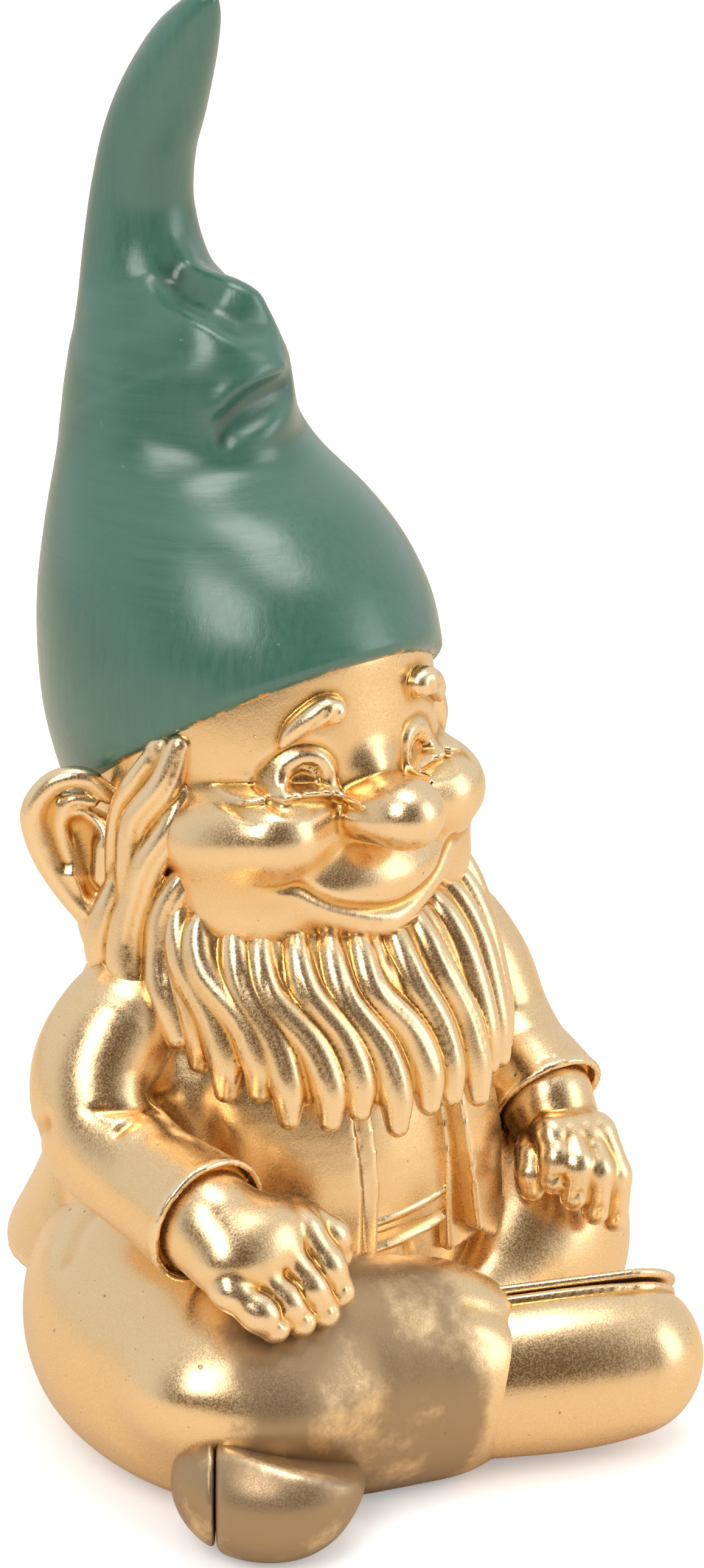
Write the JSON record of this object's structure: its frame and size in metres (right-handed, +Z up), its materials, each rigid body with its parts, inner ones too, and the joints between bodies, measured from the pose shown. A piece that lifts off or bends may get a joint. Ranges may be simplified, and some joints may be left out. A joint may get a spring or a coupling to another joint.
{
  "type": "garden gnome figure",
  "caption": "Seated cross-legged garden gnome in gold-painted cast resin, with a long wavy beard and a tall bent green hat.",
  "frame": {"origin": "centre of the vent hole's mouth, on the plane that the figure rests on", "axes": "+Z up; the figure faces -Y; +X is towards its left side"},
  "size_m": [0.1428, 0.1459, 0.2886],
  "materials": {
    "gold_paint": "satin metallic gold paint over cast resin, with fine sparkle, rubbed and brown in places",
    "green_paint": "satin green brushed paint over gold, chipped to gold at the brim",
    "bare_resin": "unpainted cast resin"
  },
  "bodies": {
    "root": {"hat": "green_paint", "head": "gold_paint", "hair": "gold_paint", "beard": "gold_paint", "right_ear": "gold_paint", "left_ear": "gold_paint", "jacket": "gold_paint", "right_jacket_flap": "gold_paint", "left_jacket_flap": "gold_paint", "shirt": "gold_paint", "belt": "gold_paint", "right_sleeve": "gold_paint", "left_sleeve": "gold_paint", "right_hand": "gold_paint", "left_hand": "gold_paint", "trouser_seat": "gold_paint", "right_trouser_leg": "gold_paint", "left_trouser_leg": "gold_paint", "right_boot": "gold_paint", "left_boot": "gold_paint", "right_sole": "gold_paint", "left_sole": "gold_paint", "base_plate": "bare_resin"}
  },
  "joints": []
}
